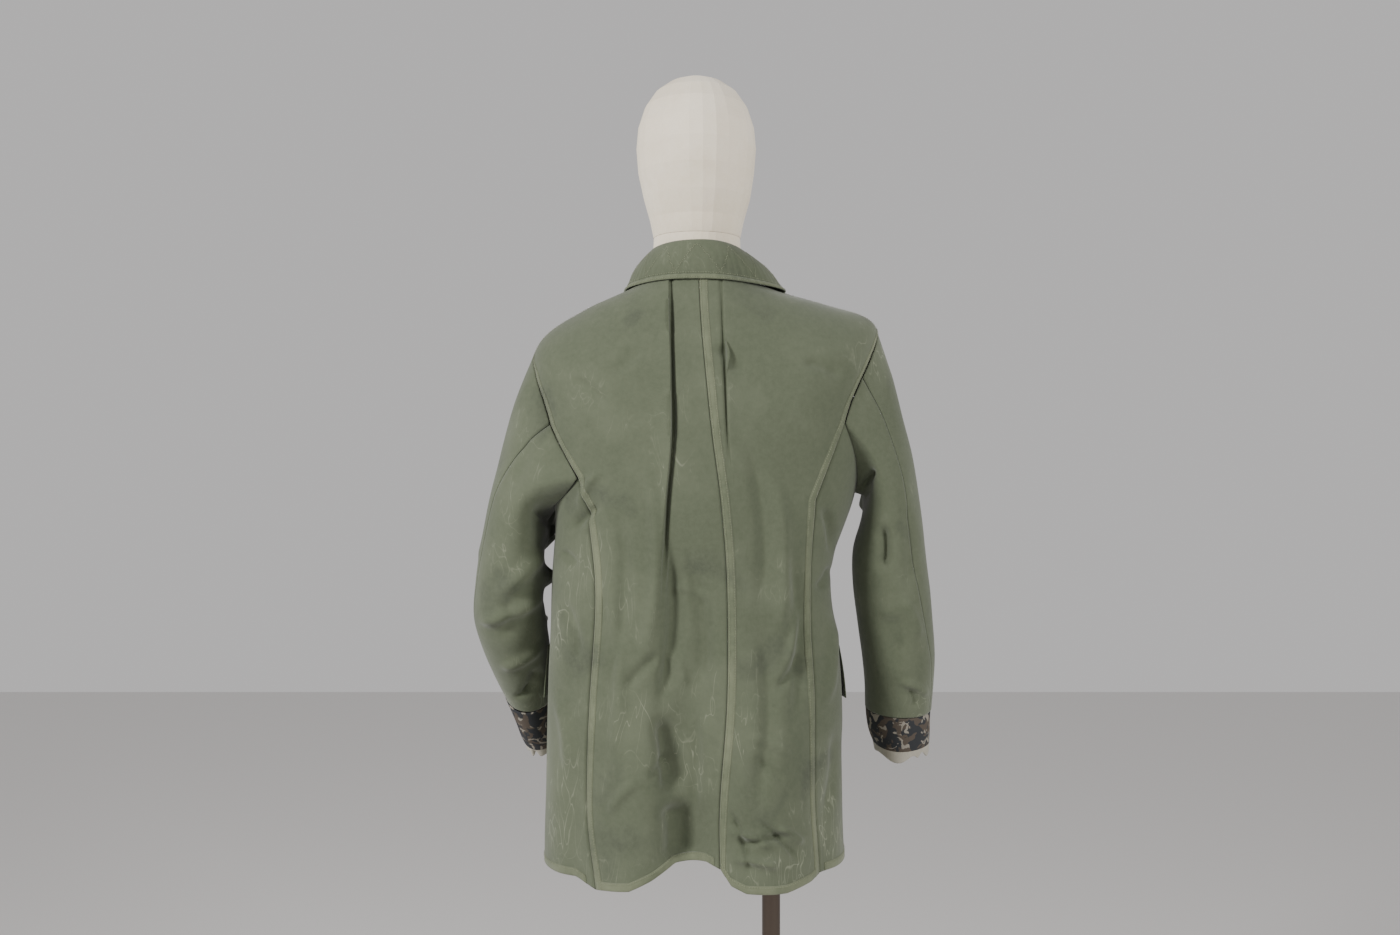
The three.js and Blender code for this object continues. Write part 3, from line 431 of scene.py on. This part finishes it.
def pleat_lift(x, row, sign):
    """The pleat's section: a trough just before its line, a lip just past it, and a slope back to the panel."""
    line = section("pleat_l" if sign < 0 else "pleat_r", row)
    d = (x - line) * sign
    opened = smooth((row - (2.7 if sign < 0 else 4.2)) / 1.3) * np.where(row > 6, 1 - 0.35 * (row - 6), 1)
    opened = opened * (1.0 if sign < 0 else 0.5)
    slit = -7.5 * np.exp(-((d / 2.6) ** 2)) * (d < 2.5)
    lip = np.where(d > 2.4, 4.6 * np.exp(-np.maximum(0, d - 4) / 14), 0)
    return opened * (slit + lip)


def back_panel(sign):
    """From the centre seam over the pleat to the outer edge, with its columns crowded where the pleat turns."""
    row = rows_for(0, 7.99)
    centre, edge = section("centre", row), outer_edge(sign, row)
    line = section("pleat_l" if sign < 0 else "pleat_r", row)
    inner = np.linspace(0, 1, 22)[None]
    near = line + sign * np.array([-5, -4, -3, -2.2, -1.4, -0.6, 0.2, 1, 1.7, 2.3, 2.6, 3.2, 4.2, 5.5, 7, 9])[None]
    x_inner = centre + sign * SEAM_STEP + (line - sign * 6 - centre) * inner
    a_inner, a_near = angle_of(x_inner, row), angle_of(near, row)
    a_start, a_end = angle_of(line + sign * 11, row), angle_of(edge, row) - sign * SEAM_TURN
    a_outer = a_start + (a_end - a_start) * np.linspace(0, 1, 48)[None]
    angle = np.concatenate([a_inner, a_near, a_outer], 1)
    row = np.broadcast_to(row, angle.shape)
    x = reach(angle, row) * round_off(np.sin(angle))
    grid = body(angle, row, pleat_lift(x, row, sign))
    if sign < 0:
        grid = grid[:, ::-1]
    return creased(grid, BACK_CREASES)


def front_panel(sign):
    """From the free edge past the centre front to the outer edge; the left front rides 3.2 mm over the right."""
    row = rows_for(0, 7.99)
    free = -sign * 22 * np.where(row > 7, 1 - 0.55 * (row - 7), 1)
    start = sign * np.pi - np.sign(free) * np.arcsin((np.abs(free) / reach(free, row)) ** (1 / ROUNDNESS))
    end = angle_of(outer_edge(sign, row, True), row, True) + sign * SEAM_TURN
    angle = start + (end - start) * np.linspace(0, 1, 72)[None]
    row = np.broadcast_to(row, angle.shape)
    x = reach(sign * np.ones_like(row), row) * round_off(np.sin(angle))
    grid = body(angle, row, 3.2 * smooth((x + 46) / 18) if sign < 0 else 0 * x)
    grid = grid if sign < 0 else grid[:, ::-1]
    return creased(grid, BACK_CREASES, FRONT_CREASES)


def side_panel(sign):
    """From the back seam to the front seam, with a top edge that dips under the arm."""
    corner = ARMHOLES[sign][0, 0]
    row = rows_for(0, corner)
    start = np.abs(angle_of(outer_edge(sign, row), row)) + SEAM_TURN
    end = np.abs(angle_of(hole_x(sign, np.minimum(row, corner), True), row, True)) - SEAM_TURN
    share = np.linspace(0, 1, 44)[None]
    angle = sign * (start + (end - start) * share)
    here = row / corner * (4 + (corner - 4) * np.abs(2 * share - 1) ** DIP[sign])
    grid = body(angle, here)
    return creased(grid if sign > 0 else grid[:, ::-1], BACK_CREASES, FRONT_CREASES)


pieces = {}
for sign, side in SIDE.items():
    for part, shape in (("back", back_panel), ("front", front_panel), ("side", side_panel)):
        grid = shape(sign)
        obj = cloth(f"{side} {part}", grid, canvas)
        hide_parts(f"{part}_{side}")
        pieces[f"{part}_{side}"] = (obj, grid)
print({k: v[1].shape for k, v in pieces.items()})

# %% [markdown]
# A sleeve starts as the armhole's own ring and settles into an oval. Each row below is one oval, given by its outer
# and inner point seen from behind, its place and reaches front to back, its forward tilt and the turn of its seams.

# %% Sleeves
# columns: outer x and z, inner x and z, y, reach behind, reach in front, tilt, turn
SLEEVES = {
    -1: [[-212, 1439, -180, 1236, 0, 78, 76, 0, 0], [-235, 1382, -202, 1222, -2, 72, 70, 0, -10],
         [-252, 1325, -205, 1204, -2, 67, 65, 0, -26], [-268, 1265, -206, 1178, 0, 63, 61, 0, -44],
         [-282, 1200, -204, 1147, 4, 59, 58, 4, -56], [-293, 1138, -205, 1108, 11, 56, 56, 10, -64],
         [-298, 1094, -203, 1076, 24, 53, 54, 20, -66], [-291, 1056, -201, 1045, 44, 50, 50, 32, -64],
         [-280, 1018, -201, 1010, 68, 46, 46, 38, -60], [-267, 982, -200, 978, 90, 43, 43, 38, -56]],
    1: [[235, 1469, 203, 1254, 0, 76, 76, 0, 0], [256, 1406, 219, 1247, 0, 70, 70, 0, 0],
        [270, 1350, 221, 1233, 0, 66, 66, 0, -2], [284, 1290, 217, 1210, 2, 63, 62, 0, -5],
        [296, 1218, 209, 1175, 4, 60, 60, 2, -8], [304, 1150, 209, 1130, 8, 57, 58, 4, -12],
        [311, 1090, 214, 1082, 13, 55, 56, 6, -20], [316, 1040, 221, 1036, 19, 53, 53, 8, -30],
        [315, 1000, 226, 999, 25, 50, 50, 9, -34], [313, 966, 228, 966, 30, 47, 47, 10, -34]],
}
CUFFS = {-1: [[-254, 940, -197, 940, 113, 41, 40, 37, -54], [-246, 914, -194, 918, 127, 38, 38, 36, -54]],
         1: [[312, 938, 233, 936, 33, 45, 45, 10, -34], [311, 921, 238, 918, 36, 43, 43, 10, -34]]}
BINDINGS = {-1: [[-242, 904, -193, 909, 132, 37, 37, 36, -54]], 1: [[310, 910, 240, 907, 37, 42, 42, 10, -34]]}
FADE = [1, 0.62, 0.3, 0.1, 0.02, 0, 0, 0, 0, 0]
SPAN = 7  # fine columns for each coarse step of the armhole


def armhole_ring(sign):
    """The armhole from the shoulder point down the back, under the arm and up the front, as body points."""
    hole, corner = ARMHOLES[sign], ARMHOLES[sign][0]
    t = np.linspace(0, 5, 5 * SPAN + 1)[:-1]
    number = np.arange(6)
    down = hole[::-1]
    back_row, back_open = np.interp(t, number, down[:, 0]), np.interp(t, number, down[:, 1])
    share = np.interp(np.linspace(0, 4, 4 * SPAN + 1)[:-1], range(5), [0, 0.22, 0.5, 0.78, 1])
    side_turn = (90 - corner[1]) + (corner[1] + corner[2]) * share
    side_row = 4 + (corner[0] - 4) * np.abs(2 * share - 1) ** DIP[sign]
    front_row, front_open = np.interp(t, number, hole[:, 0]), np.interp(t, number, hole[:, 2])
    turn = np.concatenate([90 - back_open, side_turn, 90 + front_open])
    return body(sign * np.radians(turn), np.concatenate([back_row, side_row, front_row]))


def oval(rows, angle):
    """Tilted ovals: half the way from the outer to the inner point, with unlike reaches behind and in front."""
    ox, oz, ix, iz, y, back, front, tilt, _ = np.moveaxis(rows[..., None], 1, 0)
    tilt, c, s = np.radians(tilt), np.cos(angle), np.sin(angle)
    depth = np.where(s >= 0, back, front) * s
    return np.stack([(ox + ix) / 2 + (ox - ix) / 2 * c, y - depth * np.cos(tilt),
                     (oz + iz) / 2 + (oz - iz) / 2 * c - depth * np.sin(tilt)], -1)


def ring_angles(ring, first):
    centre = np.array([(first[0] + first[2]) / 2, first[4], (first[1] + first[3]) / 2])
    half = np.array([first[0] - first[2], 0, first[1] - first[3]]) / 2
    d = ring - centre
    return np.unwrap(np.arctan2(-d[:, 1] / first[5], d @ half / (half @ half)))


def resampled(table, steps, start=0.0):
    table = np.asarray(table, float)
    k = np.linspace(start, len(table) - 1, steps)
    return np.stack([column(table, c, k) for c in range(table.shape[1])], -1), k


rings = {}


def sleeve(sign):
    """Ovals down the arm, to which the armhole's own shape is added, less and less from ring to ring."""
    table = np.array(SLEEVES[sign], float)
    ring = armhole_ring(sign)
    angles = ring_angles(ring, table[0])
    rings[sign] = angles
    rows, k = resampled(table, 170, 0.03)
    shape = ring - oval(table[:1], angles[None])[0]
    kept = np.interp(k, range(10), FADE)[:, None, None]
    grid = oval(rows, angles[None] + np.radians(rows[:, 8:])) + shape * kept
    # rows climb and columns run so that across x up points outwards
    grid = grid[::-1]
    return grid if sign > 0 else grid[:, ::-1]


def tube(sign, table, steps, crumple, size):
    """A cuff part: ovals from section to section, with a small crumple moved out of the cloth."""
    rows, _ = resampled(table, steps, 0.02)
    grid = oval(rows, rings[sign][None] + np.radians(rows[:, 8:]))[::-1]
    grid = grid if sign > 0 else grid[:, ::-1]
    return grid + normals_of(grid) * rumple(grid, size, crumple)[..., None]


for sign, side in SIDE.items():
    full = sleeve(sign)
    count = full.shape[1]
    rows_creased = LEFT_SLEEVE_CREASES if sign < 0 else RIGHT_SLEEVE_CREASES
    wrapped = np.concatenate([full[:, -6:], full, full[:, :6]], 1)
    # the side that faces forward gets every second crease, turned inside out and half as deep
    hidden = [[*line, half, -0.5 * depth] for *line, half, depth in rows_creased[1::2]]
    full = creased(wrapped, rows_creased, hidden, 17, 1.0)[:, 6:-6]
    back_seam, front_seam = 3 * SPAN, count - 3 * SPAN
    if sign < 0:
        back_seam, front_seam = count - 1 - back_seam, count - 1 - front_seam
    low, high = sorted((back_seam, front_seam))
    top_columns = np.arange(high, low + count + 1) % count
    for part, columns in (("top", top_columns), ("under", np.arange(low, high + 1))):
        grid = full[:, columns].copy()
        grid[:, 0] += 0.1 * (grid[:, 1] - grid[:, 0])
        grid[:, -1] += 0.1 * (grid[:, -2] - grid[:, -1])
        obj = cloth(f"{side} {part} sleeve", grid, canvas)
        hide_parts(f"sleeve_{part}_{side}")
        pieces[f"sleeve_{part}_{side}"] = (obj, grid)
    cuff = tube(sign, [SLEEVES[sign][-1], *CUFFS[sign]], 34, 1.6, 9)
    edge_wave = 3.0 * np.sin(np.arange(count) * 0.55) + 2.2 * np.sin(np.arange(count) * 0.23 + 1)
    cuff[..., 2] -= 0.4
    edge = tube(sign, [CUFFS[sign][-1], *BINDINGS[sign]], 12, 1.6, 9)
    edge[..., 2] += edge_wave[None] * np.linspace(1, 0, 12)[:, None]
    for part, grid, material, slot_name in (("lining", cuff, lining, "camouflage_lining"),
                                            ("binding", edge, binding, "beige_binding")):
        obj = cloth(f"{side} cuff {part}", grid, material, closed=True)
        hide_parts(f"cuff_{part}_{side}")
        pieces[f"cuff_{part}_{side}"] = (obj, grid)

# %% [markdown]
# The collar is a stand that rises round the neck and a fall that turns over it. Its edge is stitched twice, and a
# zigzag of stitches runs over the fall to stiffen it.

# %% Collar, pockets and pocket flaps
collar_turn = np.radians(np.linspace(-171, 171, 181))[None]


def roll_line(angle):
    behind, rise = np.cos(angle) >= 0, np.sin(angle) ** 2
    x = np.where(angle < 0, 60, 62) * round_off(np.sin(angle))
    y = -np.where(behind, 80, 76) * round_off(np.cos(angle))
    z = np.where(behind, 1573, 1497)
    return np.stack([x, y, z + (1565 - z) * rise], -1)


def collar_edge(angle):
    behind, rise = np.cos(angle) >= 0, np.sin(angle) ** 2
    row = np.where(behind, 7.8, 7.35)
    return body(angle, row + (np.where(angle < 0, 7.76, 7.62) - row) * rise, 3.4)


def stand_grid():
    t = np.linspace(0, 1, 16)[:, None, None]
    low, high = body(collar_turn, 8.0 + 0 * collar_turn), roll_line(collar_turn)
    return (low + [0, 0, 1]) * (1 - t) + (high - [0, 0, 1.4]) * t


def fall_grid():
    t = np.linspace(1, 0, 30)[:, None, None]
    high, low = roll_line(collar_turn), collar_edge(collar_turn)
    out = high * [1, 1, 0]
    out /= np.linalg.norm(out, axis=-1, keepdims=True)
    bulge = 5 * np.sin(np.pi * np.minimum(1, t + 0.12))
    grid = high * (1 - t) + low * t + out * (1 + bulge) + bulge * 0.6 * np.array([0, 0, 1])
    pucker = 0.7 * np.sin(np.degrees(collar_turn)[..., None] * 1.1 + 3 * t) * t
    return grid + out * pucker


def patch(low, high, columns, rows, sign, lift, flare=0.0):
    t, u = np.linspace(0, 1, columns)[None], np.linspace(0, 1, rows)[:, None]
    a, b = (97, 158) if flare == 0 else (95, 160)
    angle, row = sign * np.radians(a + (b - a) * t) + 0 * u, low + (high - low) * u + 0 * t
    grid = body(angle, row, lift + flare * (1 - t) * (1 - u))
    grid = grid if sign > 0 else grid[:, ::-1]
    return creased(grid, [], FRONT_CREASES, 12, 0.4)


extra = {"collar_stand": stand_grid(), "collar_fall": creased(fall_grid(), [], size=11, depth=0.5)}
for sign, side in SIDE.items():
    extra[f"pocket_{side}"] = patch(1.0, 2.1, 40, 46, sign, 3.9 if sign < 0 else 3.2)
    extra[f"pocket_flap_{side}"] = patch(1.84, 2.34, 44, 26, sign, 6.7 if sign < 0 else 5.6, 3.0)
for name, grid in extra.items():
    obj = cloth(name, grid, canvas)
    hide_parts(name)
    pieces[name] = (obj, grid)


# %% [markdown]
# A flat-felled seam is a folded strip stitched down twice. It shows as a raised band with a pale line of thread near
# each edge. Each band is measured off from the edge of its finished panel, so that it follows every crease.

# %% Seams, hems and stitches
def beside(grid, distances, from_end=False):
    """Points at the given distances in from one edge of a grid, measured along the cloth of each row."""
    g = grid[:, ::-1] if from_end else grid
    s = np.concatenate([np.zeros((len(g), 1)), np.linalg.norm(np.diff(g, axis=1), axis=-1).cumsum(1)], 1)
    out = np.stack([np.stack([np.interp(distances, s[i], g[i, :, c]) for c in range(3)], -1) for i in range(len(g))])
    return out[:, ::-1] if from_end else out


def band(name, grid, distances, rise, material, from_end=False, upright=True):
    """A strip along one edge of a grid, raised off the cloth except at its own two edges."""
    flat = beside(grid, distances, from_end)
    n = normals_of(flat) if upright else -normals_of(flat)
    profile = np.full(len(distances), rise)
    profile[[0, -1]] = 0.1
    profile = profile if not from_end else profile[::-1]
    raised = flat + n * profile[None, :, None]
    if not upright:
        raised = raised[:, ::-1]
    obj = cloth(name, raised, material, thick=0.9)
    return obj, raised


def stitch_line(path, normal, pitch=3.2, gap=0.9, wander=0.15):
    """Start and end points of the stitches along a path, a little above the cloth."""
    s = np.concatenate([[0], np.linalg.norm(np.diff(path, axis=0), axis=1).cumsum()])
    starts = np.arange(0, s[-1] - pitch, pitch)
    at = lambda d, v: np.stack([np.interp(d, s, v[:, c]) for c in range(3)], -1)
    a, b = at(starts, path), at(starts + pitch - gap, path)
    n = at(starts + pitch / 2, normal)
    shift = rng.normal(0, wander, (len(a), 3))
    return a + n * 0.25 + shift, b + n * 0.25 + shift, n


def stitch_mesh(name, runs, radius=0.36, material=thread):
    """All stitches of one seam as one mesh: each is a small spindle of six points and eight faces."""
    a, b, n = (np.concatenate(x) for x in zip(*runs))
    along = b - a
    side = np.cross(along, n)
    side /= np.maximum(np.linalg.norm(side, axis=1, keepdims=True), 1e-9)
    middle = (a + b) / 2
    up, side = n * radius, side * radius
    points = np.stack([a, middle + up, middle + side, middle - up, middle - side, b], 1)
    spindle = np.array([[0, 2, 1], [0, 3, 2], [0, 4, 3], [0, 1, 4], [5, 1, 2], [5, 2, 3], [5, 3, 4], [5, 4, 1]])
    faces = (np.arange(len(a))[:, None, None] * 6 + spindle).reshape(-1, 3)
    return mesh_piece(name, points.reshape(-1, 3), faces, material)


threads = []
sewn_on = {key: [] for key in pieces}
BAND = np.array([0.2, 1.2, 5.5, 9.8, 10.8])


def felled(key, name, from_end, width=BAND, lines=(1.9, 9.0), upright=True, rise=0.6, grid=None):
    """A felled seam on a piece: its raised band, and lines of stitches at the given distances from the edge."""
    grid = pieces[key][1] if grid is None else grid
    obj, raised = band(name, grid, width, rise, worn, from_end, upright)
    middle = normals_of(raised)[:, raised.shape[1] // 2]
    runs = [stitch_line(beside(grid, np.array([d]), from_end)[:, 0] + middle * (rise + 0.3), middle) for d in lines]
    threads.append(stitch_mesh(f"{name} stitches", runs))
    sewn_on[key] += [obj, threads[-1]]


felled("back_right", "centre back seam", False)
felled("back_left", "left side back seam", False)
felled("back_right", "right side back seam", True)
felled("sleeve_under_left", "left sleeve seam", True)
felled("sleeve_under_right", "right sleeve seam", False)
for key in ("back_left", "back_right", "side_left", "side_right", "front_left", "front_right"):
    turned = pieces[key][1][:, 2:-2].transpose(1, 0, 2)
    felled(key, f"{key.replace('_', ' ')} hem", False, np.array([0.0, 1.0, 5, 9.4, 10.4]), (8.6,), False, 0.7, turned)
fall = pieces["collar_fall"][1][:, 2:-2].transpose(1, 0, 2)
felled("collar_fall", "collar edge", False, np.array([0.0, 0.8, 3, 5.2, 6]), (2.0, 8.0), False, 0.4, fall)

# zigzag over the fall: the path swings between the roll and the edge as it goes round
fall_grid_points = pieces["collar_fall"][1]
zig_at = np.linspace(8, 172, 900)
swing = 5 + 20 * np.abs((zig_at / 7.5) % 2 - 1)
lower = np.floor(swing).astype(int)
zig = fall_grid_points[lower, np.round(zig_at).astype(int)]
zig = zig + (fall_grid_points[lower + 1, np.round(zig_at).astype(int)] - zig) * (swing - lower)[:, None]
zig_normal = normals_of(fall_grid_points)[lower, np.round(zig_at).astype(int)]
threads.append(stitch_mesh("collar zigzag stitches", [stitch_line(zig + zig_normal * 0.3, zig_normal, 3.0)]))
sewn_on["collar_fall"].append(threads[-1])

# %% [markdown]
# A loop goes through each sheet of cloth and reads the first word of its key; nothing is kept or made from it.

# %% A loop over the sheets of cloth
for key, (obj, grid) in pieces.items():
    start = key.split("_")[0]

# %% [markdown]
# The form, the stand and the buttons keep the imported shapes, which are already right, and take finer materials.

# %% Form, stand and stage
HARD_PARTS = (("form", linen), ("button", horn), ("pole", bronze), ("base", bronze))
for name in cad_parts:
    obj = bpy.data.objects.get(name)
    for start, material in HARD_PARTS:
        if obj is not None and name.startswith(start):
            for place in obj.material_slots:
                place.material = material

pale, pale_shader = new_material("matt painted floor", 0.9)
pale_shader.inputs["Base Color"].default_value = linear("dcdad8")
floor_points = np.array([[-6000, -6000, -0.5], [6000, -6000, -0.5], [6000, 6000, -0.5], [-6000, 6000, -0.5]], float)
floor = bpy.data.meshes.new("floor")
floor.from_pydata((floor_points * MM).tolist(), [], [(0, 1, 2, 3)])
floor.materials.append(pale)
floor = bpy.data.objects.new("floor", floor)
scene.collection.objects.link(floor)

world = bpy.data.worlds.new("pale studio")
world.use_nodes = True
world.node_tree.nodes["Background"].inputs["Color"].default_value = linear("e6e4e4")
world.node_tree.nodes["Background"].inputs["Strength"].default_value = 0.7
scene.world = world
# name, place, size in metres and power in watts
SOFTBOXES = (("left softbox", -2.1, -1.5, 2.2, 0.6, 84), ("right softbox", 1.9, -1.7, 2.0, 0.6, 44))
for name, x, y, z, size, power in SOFTBOXES:
    lamp = bpy.data.lights.new(name, "AREA")
    lamp.size, lamp.energy = size, power
    obj = bpy.data.objects.new(name, lamp)
    obj.location = (x, y, z)
    scene.collection.objects.link(obj)
    obj.rotation_euler = (Vector((0, 0, 1.2)) - obj.location).to_track_quat("-Z", "Y").to_euler()

camera_data = bpy.data.cameras.new("camera")
camera_data.lens, camera_data.sensor_width = 35, 36
camera = bpy.data.objects.new("camera", camera_data)
camera.location, camera.rotation_euler = (0.004, -1.8, 1.286), (np.pi / 2, 0, 0)
scene.collection.objects.link(camera)
scene.camera = camera
